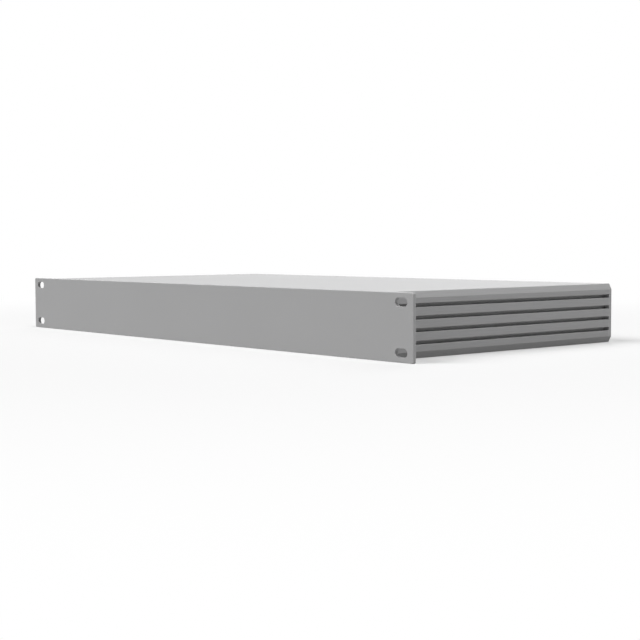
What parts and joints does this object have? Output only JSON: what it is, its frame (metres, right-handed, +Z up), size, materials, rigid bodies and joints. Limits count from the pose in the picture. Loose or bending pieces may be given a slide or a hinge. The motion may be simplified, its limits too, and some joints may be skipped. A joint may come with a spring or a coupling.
{
  "type": "rackmount chassis",
  "caption": "Low flat rackmount chassis: wide front panel with slotted ears, grooved side profiles with steep chamfers, flush covers and a rear plate.",
  "frame": {"origin": "under the middle of the chassis, level with the foot of the front panel", "axes": "+X from left to right across the front, +Y from the front panel to the rear plate, +Z up"},
  "size_m": [0.4826, 0.23, 0.044],
  "materials": {
    "panel_aluminium": "light grey, fine satin anodised plate",
    "profile_aluminium": "light grey, fine satin anodised extrusion",
    "cover_aluminium": "light grey, fine satin anodised sheet",
    "bracket_aluminium": "bare, as extruded",
    "zinc_steel": "bright zinc plated",
    "screw_steel": "plain stainless steel"
  },
  "bodies": {
    "root": {"front_panel": "panel_aluminium", "rear_plate": "panel_aluminium", "left_side_profile": "profile_aluminium", "right_side_profile": "profile_aluminium", "top_cover": "cover_aluminium", "bottom_cover": "cover_aluminium", "left_front_bracket": "bracket_aluminium", "right_front_bracket": "bracket_aluminium", "bracket_screw_left": "zinc_steel", "bracket_screw_right": "zinc_steel", "panel_nut_inner_left": "zinc_steel", "panel_nut_inner_right": "zinc_steel", "panel_nut_outer_left": "zinc_steel", "panel_nut_outer_right": "zinc_steel", "panel_stud_inner_left": "zinc_steel", "panel_stud_inner_right": "zinc_steel", "panel_stud_outer_left": "zinc_steel", "panel_stud_outer_right": "zinc_steel", "rear_screw_lower_left": "screw_steel", "rear_screw_lower_right": "screw_steel", "rear_screw_upper_left": "screw_steel", "rear_screw_upper_right": "screw_steel", "slot_nut_left": "zinc_steel", "slot_nut_right": "zinc_steel"}
  },
  "joints": []
}
